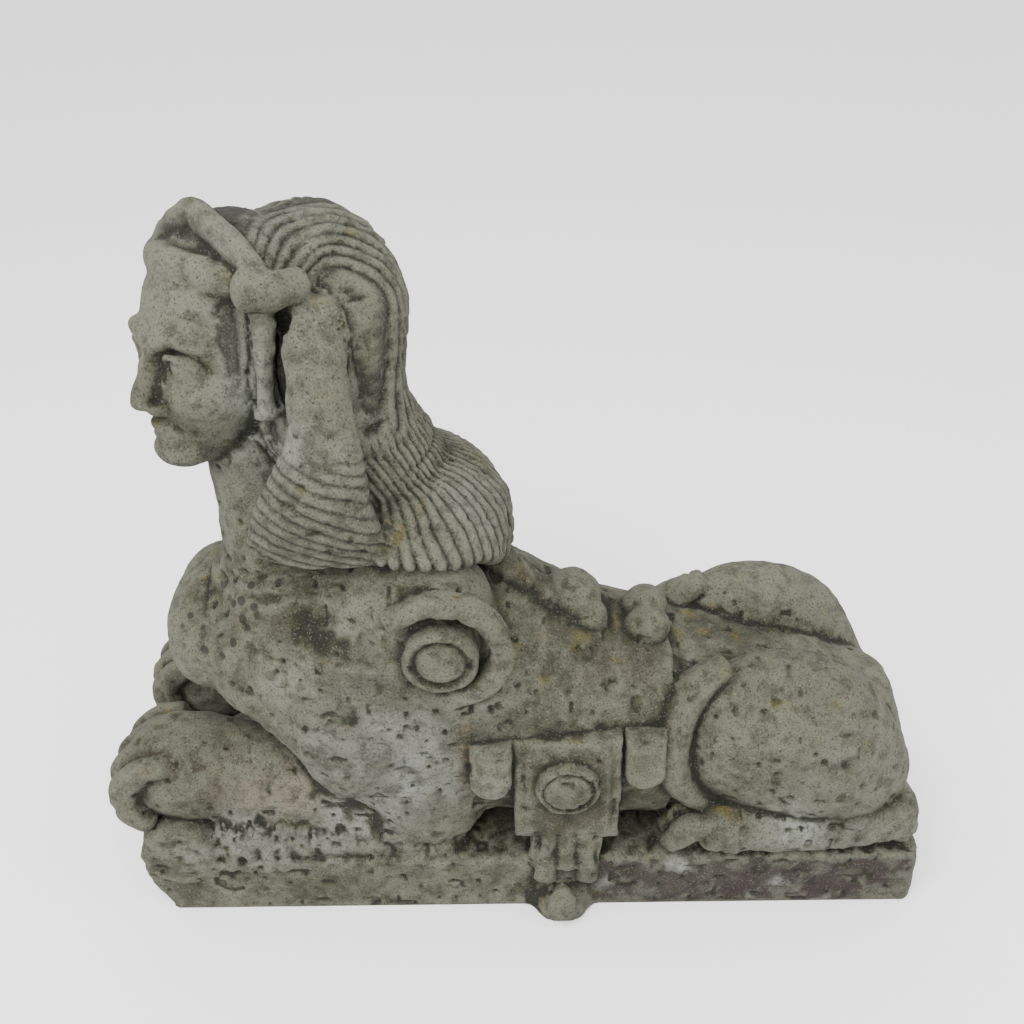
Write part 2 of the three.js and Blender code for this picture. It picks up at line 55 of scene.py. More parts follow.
# ---- Dimensions, millimetres ---------------------------------------------------------------

PLINTH = dict(front=-466, rear=458, half=148, height=78, below=6, corner=22)
ROLL = dict(x=-439, z=92, radius=44, eye=22, half=153)
BULGE = dict(x=22, width=120, reach=26)

# The trunk from the breast to the rump: place, underside, back, half width.
TRUNK = [
    (-372, 282, 412, 104),
    (-350, 265, 425, 115),
    (-320, 250, 450, 127),
    (-290, 196, 466, 137),
    (-255, 116, 478, 141),
    (-215, 98, 482, 143),
    (-145, 92, 466, 140),
    (-80, 88, 424, 136),
    (-20, 82, 386, 131),
    (40, 76, 350, 126),
    (100, 74, 326, 122),
    (160, 72, 312, 118),
    (240, 75, 296, 112),
    (320, 78, 270, 100),
    (372, 92, 250, 86),
]
TRUNK_SQUARENESS = 2.35

HEAD = dict(place=(-294, 14, 688), turn=44, tip=5)

# ---- Distances on a grid -------------------------------------------------------------------


def smooth_min(a, b, blend):
    """The nearer of two distances, with the joint filled over the given width."""
    near = np.maximum(blend - np.abs(a - b), 0) / blend
    return np.minimum(a, b) - near * near * blend * 0.25


class Region:
    """A box of the grid, holding the distance from each point to a form."""

    def __init__(self, low=LOW, high=HIGH):
        low, high = np.asarray(low, float), np.asarray(high, float)
        self.first = np.clip(np.floor((low - LOW) / PITCH).astype(int), 0, COUNT - 1)
        self.last = np.clip(np.ceil((high - LOW) / PITCH).astype(int) + 1, self.first + 1, COUNT)
        self.d = np.full(self.last - self.first, FAR, np.float32)

    def window(self, low, high):
        """The slices of this region inside a box, and the places there as three open grids."""
        spans, places = [], []
        for k in range(3):
            a = int(np.clip(math.floor((low[k] - LOW[k]) / PITCH), self.first[k], self.last[k] - 1))
            b = int(np.clip(math.ceil((high[k] - LOW[k]) / PITCH) + 1, a + 1, self.last[k]))
            shape = [1, 1, 1]
            shape[k] = -1
            spans.append(slice(a - self.first[k], b - self.first[k]))
            places.append((LOW[k] + PITCH * np.arange(a, b, dtype=np.float32)).reshape(shape))
        return tuple(spans), places

    def places(self):
        return self.window(LOW, HIGH)[1]

    def flipped(self):
        """The mirror image, left for right."""
        other = Region.__new__(Region)
        other.first, other.last = self.first.copy(), self.last.copy()
        other.first[1], other.last[1] = COUNT[1] - self.last[1], COUNT[1] - self.first[1]
        other.d = self.d[:, ::-1]
        return other

    def overlap(self, other):
        first = np.maximum(self.first, other.first)
        last = np.minimum(self.last, other.last)
        mine = tuple(slice(a, b) for a, b in zip(first - self.first, last - self.first))
        theirs = tuple(slice(a, b) for a, b in zip(first - other.first, last - other.first))
        return mine, theirs

    def add(self, other, blend=6.0):
        mine, theirs = self.overlap(other)
        self.d[mine] = smooth_min(self.d[mine], other.d[theirs], blend)

    def cut(self, other, blend=4.0):
        mine, theirs = self.overlap(other)
        self.d[mine] = -smooth_min(-self.d[mine], other.d[theirs], blend)


def spline(points, count):
    """Points along a Catmull-Rom curve through the given rows."""
    points = np.asarray(points, float)
    padded = np.vstack([2 * points[0] - points[1], points, 2 * points[-1] - points[-2]])
    t = np.linspace(0, len(points) - 1, count)
    k = np.minimum(t.astype(int), len(points) - 2)
    f = (t - k)[:, None]
    a, b, c, d = (padded[k + n] for n in range(4))
    return 0.5 * (2 * b + (c - a) * f + (2 * a - 5 * b + 4 * c - d) * f**2 + (3 * b - a - 3 * c + d) * f**3)


def unit(v):
    return v / np.linalg.norm(v)


def oval(parts, radii, power):
    """Distance to a superellipsoid from coordinates along its axes."""
    scaled = [np.abs(q) / r for q, r in zip(parts, radii)]
    k = sum(s**power for s in scaled) ** (1 / power)
    slope = np.sqrt(sum((s ** (power - 1) / r) ** 2 for s, r in zip(scaled, radii)))
    slope = slope * np.maximum(k, 1e-3) ** (1 - power)
    return np.maximum((k - 1) / np.maximum(slope, 1e-4), -FAR)


def turned(tilt=0.0, turn=0.0, roll=0.0):
    """Axes of a form tilted about Y, then turned about Z, in degrees."""
    r, p, y = (math.radians(a) for a in (roll, tilt, turn))
    return np.array(Matrix.Rotation(y, 3, "Z") @ Matrix.Rotation(p, 3, "Y") @ Matrix.Rotation(r, 3, "X"))


def ball(centre, radii, tilt=0.0, turn=0.0, roll=0.0, power=2.0, reach=16.0, axes=None):
    """A superellipsoid."""
    centre, radii = np.asarray(centre, float), np.asarray(radii, float)
    axes = turned(tilt, turn, roll) if axes is None else axes
    span = np.sqrt(((axes * radii) ** 2).sum(1)) * (1 if power <= 2 else 1.15) + reach
    region = Region(centre - span, centre + span)
    x, y, z = (p - c for p, c in zip(region.places(), centre))
    parts = [axes[0, k] * x + axes[1, k] * y + axes[2, k] * z for k in range(3)]
    region.d = oval(parts, radii, power).astype(np.float32)
    return region


def tube(path, sizes, across=(0, 1, 0), power=2.0, cap=0.7, step=8.0, reach=16.0, twist=None, relief=None):
    """A limb along a smooth path. sizes gives half width (along across) and half height."""
    path = np.asarray(path, float)
    length = np.linalg.norm(np.diff(path, axis=0), axis=1).sum()
    count = max(int(length / step) + 1, 3)
    rows = np.hstack([path, np.asarray(sizes, float)])
    if twist is not None:
        rows = np.hstack([rows, np.asarray(twist, float)[:, None]])
    rows = spline(rows, count)
    spine, girth = rows[:, :3], rows[:, 3:5]
    span = girth.max(1).max() * 1.2 + reach
    region = Region(spine.min(0) - span, spine.max(0) + span)
    for k in range(count - 1):
        start, end = spine[k], spine[k + 1]
        span = max(girth[k].max(), girth[k + 1].max()) * 1.1 + reach
        where, (x, y, z) = region.window(np.minimum(start, end) - span, np.maximum(start, end) + span)
        forward = unit(end - start)
        size = np.linalg.norm(end - start)
        sideways = np.asarray(across, float)
        if twist is not None:
            sideways = np.array(Matrix.Rotation(rows[k, 5], 3, Vector(forward)) @ Vector(sideways))
        sideways = unit(sideways - sideways.dot(forward) * forward)
        upward = np.cross(forward, sideways)
        x, y, z = x - start[0], y - start[1], z - start[2]
        along = forward[0] * x + forward[1] * y + forward[2] * z
        share = np.clip(along / size, 0, 1)
        beyond = along - share * size
        v = sideways[0] * x + sideways[1] * y + sideways[2] * z
        w = upward[0] * x + upward[1] * y + upward[2] * z
        wide = girth[k, 0] + share * (girth[k + 1, 0] - girth[k, 0])
        tall = girth[k, 1] + share * (girth[k + 1, 1] - girth[k, 1])
        joint = min(cap, size / girth[k : k + 2].min())
        ends = np.where(beyond < 0, cap if k == 0 else joint, cap if k == count - 2 else joint)
        d = oval((v, w, beyond), (wide, tall, ends * np.minimum(wide, tall)), power)
        if relief is not None:
            d = d - relief((k + share) / (count - 1), v / wide, w / tall)
        region.d[where] = np.minimum(region.d[where], d)
    return region


# ---- Plinth --------------------------------------------------------------------------------


def plinth():
    """The slab, its front end swelling outward toward the top."""
    front, rear, half, height = (PLINTH[k] for k in ("front", "rear", "half", "height"))
    reach = 16
    low = (front - PLINTH["corner"] - reach, -half - reach, -30)
    region = Region(low, (rear + reach, half + reach, height + reach))
    x, y, z = region.places()
    level = np.clip(z / height, 0, 1)
    nose = front - PLINTH["corner"] * (1 - (1 - level) ** 2.2)
    side = 0.25 * PLINTH["corner"] * (np.abs(y) / half) ** 8
    middle, long = (nose + rear) / 2, (rear - nose) / 2 - side
    corner = 7.0
    thick = height / 2 + 20
    upper = np.abs(z - height + thick) - thick + corner
    q = [np.abs(x - middle) - long + corner, np.abs(y) - half + corner, upper]
    outside = np.sqrt(sum(np.maximum(k, 0) ** 2 for k in q))
    inside = np.minimum(np.maximum(np.maximum(q[0], q[1]), q[2]), 0)
    region.d = (outside + inside - corner).astype(np.float32)
    return region


def rosette(x, y, z, radius, eye, depth, lip, reach=16.0):
    """A turned disc facing -Y, its face at y, with a raised rim, a sunk ring and a raised eye."""
    span = radius + reach
    region = Region((x - span, y - reach, z - span), (x + span, y + depth + reach, z + span))
    px, py, pz = region.places()
    r = np.sqrt((px - x) ** 2 + (pz - z) ** 2)
    width = (radius - eye) / 2
    sunk = lip * np.exp(-(((r - eye - 0.25 * width) / (0.55 * width)) ** 2))
    crown = 0.25 * lip * np.exp(-((r / (0.6 * eye)) ** 2))
    crown = crown - 0.5 * lip * np.clip((r - radius + 5) / 5, 0, 1) ** 2
    face = y + sunk - crown
    region.d = -smooth_min(-(r - radius), -(face - py), 5.0).astype(np.float32)
    region.d = np.maximum(region.d, py - y - depth)
    return region


def roll(stone):
    """The scroll roll across the front edge, with a volute on each end and flutes behind it."""
    x, z, radius, half = (ROLL[k] for k in ("x", "z", "radius", "half"))
    ends = [(x, -half + 8, z), (x, half - 8, z)]
    stone.add(tube(ends, [(radius, radius)] * 2, across=(1, 0, 0), cap=0.2, step=60), 8)
    both(stone, rosette(x, -half, z, radius, ROLL["eye"], 40, 5), 3)
    for k in range(4):
        across = x + radius + 20 + 21 * k
        foot = (across, -PLINTH["half"] + 4, PLINTH["height"] - 12)
        head = (across, -PLINTH["half"] + 12, PLINTH["height"] + 15 - 2 * k)
        both(stone, tube([foot, head], [(9, 9), (8.5, 9)], across=(1, 0, 0)), 3)


def bulge(stone):
    """The swelling on each long side of the plinth that the cloth's tassel lies on."""
    x, width, reach = (BULGE[k] for k in ("x", "width", "reach"))
    half = PLINTH["half"]
    both(stone, ball((x, -half + 12, -4), (width * 0.28, reach + 12, 42), power=2.6), 16)


# ---- Body ----------------------------------------------------------------------------------


def both(stone, part, blend=6.0):
    """Joins a part of the left side, and its mirror image on the right."""
    stone.add(part, blend)
    stone.add(part.flipped(), blend)


def barrel(first, last, grow=0.0, end=30.0, reach=24.0):
    """The trunk between two places along its length, its sections upright ovals."""
    rows = spline(TRUNK, 160)
    rows = rows[(rows[:, 0] >= first) & (rows[:, 0] <= last)]
    low = (rows[0, 0] - end - reach, -rows[:, 3].max() - grow - reach, rows[:, 1].min() - grow - reach)
    high = (rows[-1, 0] + end + reach, rows[:, 3].max() + grow + reach, rows[:, 2].max() + grow + reach)
    region = Region(low, high)
    x, y, z = region.places()
    under, top, half = (np.interp(x, rows[:, 0], rows[:, k]) for k in (1, 2, 3))
    beyond = x - np.clip(x, rows[0, 0], rows[-1, 0])
    tall = (top - under) / 2 + grow
    middle = (top + under) / 2
    region.d = oval((y, z - middle, beyond), (half + grow, tall, end), TRUNK_SQUARENESS)
    region.d = region.d.astype(np.float32)
    return region


def trunk(stone):
    stone.add(barrel(-400, 400, end=60), 4)
    both(stone, ball((-140, -84, 412), (84, 62, 84), reach=40), 30)
    breast = [(-318, -84, 318), (-262, -92, 274), (-200, -94, 226)]
    both(stone, tube(breast, [(40, 44), (46, 46), (50, 50)], reach=40), 30)
    stone.add(ball((312, 0, 172), (124, 104, 96), tilt=22, reach=44), 36)
    tail = [(396, 0, 220), (430, -4, 160), (452, -18, 108), (444, -50, 88)]
    both(stone, tube(tail, [(30, 24), (24, 20), (20, 18), (16, 15)], reach=34), 26)


def neck(stone):
    spine = [(-286, 0, 440), (-296, 0, 520), (-300, 2, 600)]
    stone.add(tube(spine, [(84, 74), (66, 62), (64, 62)], reach=50), 46)


def foreleg(stone):
    upper = tube(
        [(-158, -84, 370), (-152, -96, 250), (-142, -94, 124)],
        [(48, 66), (52, 68), (52, 64)],
        power=2.6,
        reach=42,
    )
    both(stone, upper, 34)
    lower = tube(
        [(-120, -90, 118), (-240, -88, 134), (-330, -88, 162), (-404, -88, 182)],
        [(42, 54), (42, 58), (46, 64), (50, 62)],
        power=2.4,
    )
    leg = Region((-540, -170, 40), (-40, 0, 300))
    leg.add(lower)
    leg.add(tube([(-130, -90, 84), (-390, -92, 84)], [(50, 34)] * 2, power=3), 22)
    leg.add(ball((-432, -88, 184), (68, 56, 66), tilt=-20), 16)
    for k in range(4):
        across = -88 + (k - 1.5) * 29.5
        back = 0.004 * (across + 88) ** 2
        knuckle = [(-444, 226), (-472, 216), (-494, 190), (-492, 158), (-480, 138)]
        path = [(x + back, across, z) for x, z in knuckle]
        leg.add(tube(path, [(14, 13), (15.5, 16), (17, 19), (17, 20), (15, 16)], step=6), 5)
    both(stone, leg, 6)
    stone.add(tube([(-385, 0, 118), (-180, 0, 118)], [(42, 52)] * 2), 10)


def hind_leg(stone):
    thigh = Region((110, -190, 40), (495, 20, 400))
    thigh.add(ball((282, -88, 224), (118, 62, 112), tilt=16, power=2.2, reach=50))
    thigh.add(ball((350, -84, 174), (92, 60, 72), tilt=22, power=2.1, reach=50), 50)
    fold = []
    for k in range(7):
        angle = math.radians(128 + (236 - 128) * k / 6)
        aside = -104 + 22 * math.exp(-((k / 1.8) ** 2))
        fold.append((292 + 146 * math.cos(angle), aside, 226 + 120 * math.sin(angle)))
    taper = [24 * (0.35 + 0.65 * math.sin(math.pi * (k + 0.6) / 7.2)) for k in range(7)]
    both(stone, tube(fold, [(1.5 * t, t) for t in taper]), 8)
    both(stone, thigh, 4)
    foot = tube(
        [(428, -110, 114), (320, -117, 112), (205, -117, 110)],
        [(32, 40), (36, 36), (40, 34)],
        power=2.3,
    )
    leg = Region((100, -200, 40), (495, 0, 200))
    leg.add(foot)
    for k in range(3):
        y = -112 + (k - 1) * 24
        leg.add(tube([(200, y, 118), (172, y, 116), (152, y, 92)], [(14, 15), (14, 17), (13, 14)]), 5)
    both(stone, leg, 5)


def back(stone):
    queue = tube(
        [(-96, 0, 520), (-60, 0, 470), (-54, 0, 424), (-16, 0, 380), (20, 0, 352)],
        [(40, 20), (36, 22), (30, 20), (26, 18), (24, 16)],
    )
    stone.add(queue, 6)
    lump = Region((-60, -70, 290), (130, 70, 430))
    lump.add(ball((34, 0, 362), (36, 36, 34)))
    lump.add(ball((0, -8, 364), (24, 30, 26)), 6)
    lump.add(ball((52, -22, 346), (26, 20, 24)), 6)
    lump.add(ball((14, -30, 346), (28, 22, 22)), 6)
    stone.add(lump, 5)
    stone.add(ball((124, 16, 336), (27, 26, 24)), 5)
    stone.add(ball((124, -16, 330), (27, 26, 22)), 5)


# ---- Head ----------------------------------------------------------------------------------

HEAD_AXES = turned(HEAD["tip"], HEAD["turn"])
HEAD_PLACE = np.array(HEAD["place"], float)


def on_head(point):
    return HEAD_AXES @ np.asarray(point, float) + HEAD_PLACE


def head_ball(centre, radii, tilt=0.0, turn=0.0, roll=0.0, power=2.0, reach=14.0):
    return ball(on_head(centre), radii, axes=HEAD_AXES @ turned(tilt, turn, roll), power=power, reach=reach)


def head_tube(path, sizes, across=(0, 1, 0), **options):
    return tube([on_head(p) for p in path], sizes, across=HEAD_AXES @ np.asarray(across, float), **options)


def sides(make):
    """The form that make(side) gives, for the left and the right of the head."""
    return [make(-1), make(1)]


def face(head):
    head.add(head_ball((-6, 0, 26), (106, 79, 92)), 4)
    head.add(head_ball((-44, 0, -46), (68, 57, 70)), 40)
    for part in sides(lambda s: head_ball((-66, s * 36, -34), (40, 32, 32))):
        head.add(part, 20)
    head.add(head_ball((-90, 0, -99), (27, 31, 18)), 18)
    for part in sides(lambda s: head_ball((-122, s * 35, 2), (22, 23, 13), turn=-s * 24)):
        head.cut(part, 14)
    for s in (-1, 1):
        brow = [(-112, s * 10, 16), (-109, s * 32, 25), (-90, s * 58, 17)]
        head.add(head_tube(brow, [(6, 6), (6, 5), (4, 4)]), 12)
    for part in sides(lambda s: head_ball((-90, s * 34, -1), (19, 19, 16))):
        head.add(part, 3)
    upper_lid = [(-103, 17, -4), (-110, 26, 7), (-108, 37, 9), (-100, 47, 4), (-92, 53, -5)]
    lower_lid = [(-103, 18, -5), (-107, 27, -11), (-105, 37, -12), (-98, 46, -9), (-91, 52, -5)]
    for lid, size in ((upper_lid, 3.4), (lower_lid, 2.6)):
        for s in (-1, 1):
            head.add(head_tube([(x, s * y, z) for x, y, z in lid], [(size, size)] * 5, step=4), 3)
    nose = head_tube(
        [(-107, 0, 16), (-114, 0, -6), (-124, 0, -32), (-127, 0, -43)],
        [(7, 8), (7.5, 9), (10, 11), (11, 10)],
        step=5,
    )
    head.add(nose, 10)
    for part in sides(lambda s: head_ball((-116, s * 12, -48), (11, 7.5, 7.5))):
        head.add(part, 5)
    upper_lip = [(-97, -25, -74), (-108, -12, -70), (-111, 0, -71), (-108, 12, -70), (-97, 25, -74)]
    lower_lip = [(-97, -22, -77), (-106, -12, -81), (-109, 0, -82), (-106, 12, -81), (-97, 22, -77)]
    for lip in (upper_lip, lower_lip):
        thickness = [(3, 3), (6, 5.5), (6, 5.5), (6, 5.5), (3, 3)]
        head.add(head_tube(lip, thickness, step=4, across=(1, 0, 0)), 5)


NEAR_KNOB = [(-58, -90, 78), (-42, -102, 78), (-14, -104, 80)]
FAR_KNOB = [(-46, 86, 68), (-30, 100, 68), (-4, 104, 66)]


def headdress(head):
    arc = []
    for k in range(13):
        angle = math.radians(-82 + 164 * k / 12)
        y = 97 * math.sin(angle)
        peak = 5 * math.exp(-((y / 14) ** 2)) - 0.16 * max(y, 0)
        arc.append((-36 - 14 * math.cos(angle), y, 60 + 60 * math.cos(angle) ** 1.3 + peak))
    head.add(head_tube(arc, [(13, 18)] * 13, across=(1, 0, 0.4)), 4)
    fringe = [(-34, -88, 70), (-68, -46, 82), (-86, 0, 88), (-68, 46, 80), (-34, 88, 66)]
    head.add(head_tube(fringe, [(15, 15)] * 5, across=(1, 0, 0)), 8)
    for s in (-1, 1):
        knob = NEAR_KNOB if s < 0 else FAR_KNOB
        head.add(head_tube(knob, [(19, 19), (17, 17), (15, 15)]), 5)


STRANDS = 60
NAPE = -186.0
CARVED = {}


def ridges(phase, roundness=0.6):
    """Rounded ridges between narrow grooves: 0 in a groove, 1 on a ridge."""
    return np.abs(np.sin(math.pi * phase)) ** roundness


def hair(stone):
    levels = [
        (-172, 0, 490, 86, 86, 0),
        (-186, 0, 545, 84, 77, 4),
        (-217, 4, 595, 96, 79, 18),
        (-235, 19, 650, 112, 88, 34),
        (-246, 34, 700, 124, 98, 44),
        (-254, 36, 736, 112, 96, 44),
        (-266, 30, 768, 80, 80, 44),
    ]
    fall = tube(
        [row[:3] for row in levels],
        [row[3:5] for row in levels],
        twist=[math.radians(row[5]) for row in levels],
        cap=0.36,
        step=16,
    )
    mass = Region((-430, -210, 440), (-20, 210, 850))
    mass.add(fall)
    mass.add(head_ball((2, 0, 4), (106, 92, 114)), 12)
    mass.add(head_ball((-24, 0, 36), (70, 84, 88)), 20)
    stone.add(mass, 8)
    CARVED["hair"] = mass
    cape = ball((-150, 0, 470), (112, 138, 92))
    x, y, z = cape.places()
    hem = 500 - 20 * np.clip((x + 150) / 80, -0.4, 1.2) - 60 * np.clip(1 - np.abs(y) / 90, 0, 1)
    hem = hem + 4 - 6 * ridges(STRANDS * np.arctan2(y, x - NAPE) / math.tau)
    cape.d = -smooth_min(-cape.d, z - hem, 8).astype(np.float32)
    stone.add(cape, 5)
    CARVED["cape"] = cape
    sizes = [(28, 22), (30, 23), (37, 24), (60, 24), (72, 20)]
    left = [on_head((-4, -104, 50)), (-211, -110, 680), (-213, -116, 620)]
    left += [(-224, -122, 552), (-229, -112, 508)]
    right = [on_head((-4, 104, 50)), on_head((-10, 110, 0))]
    right += [(-352, 104, 610), (-312, 120, 550), (-286, 112, 508)]
    locks = Region((-470, -190, 430), (-100, 190, 820))
    for path in (left, right):
        locks.add(tube(path, sizes, across=(1, 0, 0)))
    stone.add(locks, 16)
    CARVED["lappets"] = locks


# ---- Ornament ------------------------------------------------------------------------------

SCROLL = dict(x=-110, y=142, z=394, boss=40, eye=25, outer=80, band=26)


def scroll(stone):
    x, y, z = SCROLL["x"], SCROLL["y"], SCROLL["z"]
    path = []
    for k in range(2, 11):
        angle = math.radians(200 - 325 * k / 10)
        radius = SCROLL["outer"] - SCROLL["band"] / 2 - 0.4 * k
        aside = -y + 4 - 4 * math.sin(angle)
        path.append((x + radius * math.cos(angle), aside, z + radius * math.sin(angle)))
    both(stone, tube(path, [(13, 13)] * 9, power=3), 5)
    for s in (-1, 1):
        stone.cut(ball((x, s * (y + 16), z), (52, 16, 52), power=2.6), 5)
    both(stone, rosette(x, -y - 18, z, SCROLL["boss"], SCROLL["eye"], 44, 6), 3)


HINGE = 266.0
LEAN = 5.0


def hanging(x, half, top, foot, face, thick=16, square=False, corner=3.0, reach=14.0):
    """Cloth on the left flank, its outer face at y = face by the hinge, leaning out below."""
    slope = math.tan(math.radians(LEAN))
    out = slope * (HINGE - foot)
    low = (x - half - reach, face - out - reach, foot - reach)
    region = Region(low, (x + half + reach, face + thick + reach, top + reach))
    px, py, pz = region.places()
    if square:
        flat = np.maximum(np.abs(px - x) - half, np.maximum(foot - pz, pz - top))
    else:
        bend = foot + half
        strip = np.maximum(np.abs(px - x) - half, pz - top)
        flat = np.where(pz < bend, np.sqrt((bend - pz) ** 2 + (px - x) ** 2) - half, strip)
    front = face - slope * (HINGE - pz) - py
    rear = -front - thick
    side = np.maximum(front, rear)
    inner = -smooth_min(-flat, -side, corner * 2)
    region.d = np.broadcast_to(inner, region.d.shape).astype(np.float32)
    return region


def saddlecloth(stone):
    stone.add(barrel(-88, 150, grow=6, end=3), 3)
    face = -130 - 6
    for x, proud in ((-61, 17), (114, 4)):
        both(stone, hanging(x, 23, 266, 192, face - proud, 24), 2)
    both(stone, hanging(26, 61, 266, 120, face - 4, 34, square=True), 2)
    both(stone, hanging(26, 49, 266, 130, face - 8, 34, square=True), 2)
    both(stone, hanging(26, 42, 200, 40, face, 34), 2)
    both(stone, rosette(26, -PLINTH["half"] - 14, 204, 36, 27, 32, 5), 2)
    for k in (-1, 0, 1):
        head = (26 + 20 * k, -PLINTH["half"] - 2, 136)
        tail = (26 + 26 * k, -PLINTH["half"] - 6, 72 - 22 * k * k)
        both(stone, tube([head, tail], [(10, 6), (13, 7)], across=(1, 0, 0)), 2)
    both(stone, ball((22, -162, 35), (9, 9, 9)), 3)
    both(stone, ball((22, -166, 20), (19, 19, 19)), 3)


# ---- The stone -----------------------------------------------------------------------------


def carve():
    stone = Region()
    stone.add(plinth(), 1)
    trunk(stone)
    neck(stone)
    hair(stone)
    head = Region(HEAD_PLACE - 175, HEAD_PLACE + 175)
    face(head)
    headdress(head)
    stone.add(head, 6)
    CARVED["head"] = head
    for s in (-1, 1):
        stone.cut(head_ball((-27, s * 99, 8), (9, 22, 56)), 6)
        stone.add(head_tube([(-45, s * 91, 56), (-48, s * 95, -38)], [(9, 10), (8, 9)]), 3)
        stone.add(head_ball((-46, s * 93, -42), (14, 14, 7)), 3)
    foreleg(stone)
    hind_leg(stone)
    back(stone)
    roll(stone)
    bulge(stone)
    scroll(stone)
    saddlecloth(stone)
    x, y, z = stone.places()
    stone.d = np.maximum(stone.d, -z - PLINTH["below"])
    return stone


def meshed(stone):
    """The surface of the carving: its points in millimetres and its four-sided faces."""
    grid = openvdb.FloatGrid(FAR)
    grid.copyFromArray(np.ascontiguousarray(stone.d))
    points, quads = grid.convertToQuads(isovalue=0.0)
    return points * PITCH + LOW + UP * PLINTH["below"], quads


stone = carve()
places, quads = meshed(stone)
mesh = bpy.data.meshes.new("sphinx")
mesh.vertices.add(len(places))
mesh.vertices.foreach_set("co", (places * MM).astype(np.float32).ravel())
mesh.loops.add(4 * len(quads))
mesh.loops.foreach_set("vertex_index", quads.astype(np.int32).ravel())
mesh.polygons.add(len(quads))
mesh.polygons.foreach_set("loop_start", np.arange(0, 4 * len(quads), 4, dtype=np.int32))
mesh.update()
mesh.validate()
sphinx = bpy.data.objects.new("sphinx", mesh)
bpy.context.scene.collection.objects.link(sphinx)

# ---- Locks of hair and wear ----------------------------------------------------------------


def ramp(value, start, end):
    """0 before the start and 1 after the end, smooth between."""
    share = np.clip((value - start) / (end - start), 0, 1)
    return share * share * (3 - 2 * share)


def noise(spots, size, seed):
    """Smooth random values between -1 and 1 that change over about the given size."""
    lattice = np.random.default_rng(seed).uniform(-1, 1, (48, 48, 48))
    scaled = spots / size + 96.0
    cell = np.floor(scaled).astype(int)
    share = ramp(scaled - cell, 0.0, 1.0)
    total = np.zeros(len(spots))
    for corner in np.ndindex(2, 2, 2):
        weight = np.prod(np.where(corner, share, 1 - share), axis=1)
        total += weight * lattice[tuple(((cell + corner) % 48).T)]
    return total


def reading(region, spots):
    """The distances to a carved form at some places, far beyond its reach."""
    index = np.rint((spots - LOW) / PITCH).astype(int) - region.first
    inside = ((index >= 0) & (index < np.array(region.d.shape))).all(axis=1)
    found = np.full(len(spots), FAR)
    found[inside] = region.d[tuple(index[inside].T)]
    return found


def on(name, spots, margin=3.0):
    """1 on the surface of a named form, 0 away from it."""
    return 1 - ramp(reading(CARVED[name], spots), margin, margin + 3)


def surface(piece):
    """The places, in millimetres above the carving's own level, and the normals of a mesh."""
    count = len(piece.data.vertices)
    spots, normals = np.empty(count * 3, np.float32), np.empty(count * 3, np.float32)
    piece.data.vertices.foreach_get("co", spots)
    piece.data.vertex_normals.foreach_get("vector", normals)
    return spots.reshape(-1, 3) / MM - UP * PLINTH["below"], normals.reshape(-1, 3)


def strands(spots):
    """How far the locks stand out, and the share of groove between them.

    They arc over each ear, hang upright behind it and fan over the cape.
    """
    x, y, z = spots.T
    local = (spots - HEAD_PLACE) @ HEAD_AXES
    over = np.maximum(local[:, 2] - 48, 0)
    reach = np.sqrt((local[:, 0] - 40) ** 2 + over**2 + (0.8 * (98 - np.abs(local[:, 1]))) ** 2)
    arcs = ridges((reach + 3 * noise(spots, 34, 3)) / 9.5) * (1 - 0.75 * ramp(reach, 88, 118))
    middle_x = np.interp(z, [490, 545, 595, 650], [NAPE, NAPE, -217, -235])
    middle_y = np.interp(z, [545, 595, 650], [0, 4, 19])
    around = np.arctan2(y - middle_y, x - middle_x)
    fan = ridges(STRANDS * around / math.tau + 0.25 * noise(spots, 40, 4))
    high = ramp(z, 585, 625)
    bare = 1 - np.maximum(on("head", spots), on("lappets", spots))
    hair = on("hair", spots) * bare * ramp(z, 500, 515)
    cape = on("cape", spots) * (1 - on("lappets", spots))
    slope = z + 0.5 * (x + 235)
    ripples = ridges((slope + 4 * noise(spots, 45, 5)) / 14) * (1 - ramp(z, 600, 650))
    waves = on("lappets", spots) * ripples * (0.55 + 0.45 * noise(spots, 22, 6))
    relief = arcs * high + fan * (1 - high)
    rippled = on("lappets", spots) * (1 - ramp(z, 600, 650))
    groove = np.maximum(hair, cape) * (1 - relief) + rippled * (1 - ripples)
    return np.maximum(hair, cape) * 3.6 * relief + 3.2 * waves, groove


def wear(spots):
    """Weathered relief: slow waves, fine roughness and scattered pits."""
    x, y, z = spots.T
    calm = 1 - 0.55 * on("head", spots)
    rough = 1.5 * noise(spots, 58, 11) + 1.1 * noise(spots, 21, 12) + 0.8 * noise(spots, 8, 13)
    root = ramp(z, 66, 80) * (1 - ramp(z, 112, 140)) * ramp(np.abs(y), 96, 118)
    rough = rough + root * (2.6 * noise(spots, 15, 14) + 1.6 * noise(spots, 7, 15))
    pits = ramp(noise(spots, 10, 16), 0.5, 0.72) + ramp(noise(spots, 26, 17), 0.62, 0.8)
    return calm * (rough - 2.0 * pits)


spots, normals = surface(sphinx)
height = strands(spots)[0] + wear(spots)
height = height * ramp(spots[:, 2] + PLINTH["below"], 1, 7)
moved = spots + normals * height[:, None] + UP * PLINTH["below"]
mesh.vertices.foreach_set("co", (moved * MM).astype(np.float32).ravel())
mesh.polygons.foreach_set("use_smooth", np.ones(len(mesh.polygons), dtype=bool))
mesh.update()

TRIANGLES = 196000


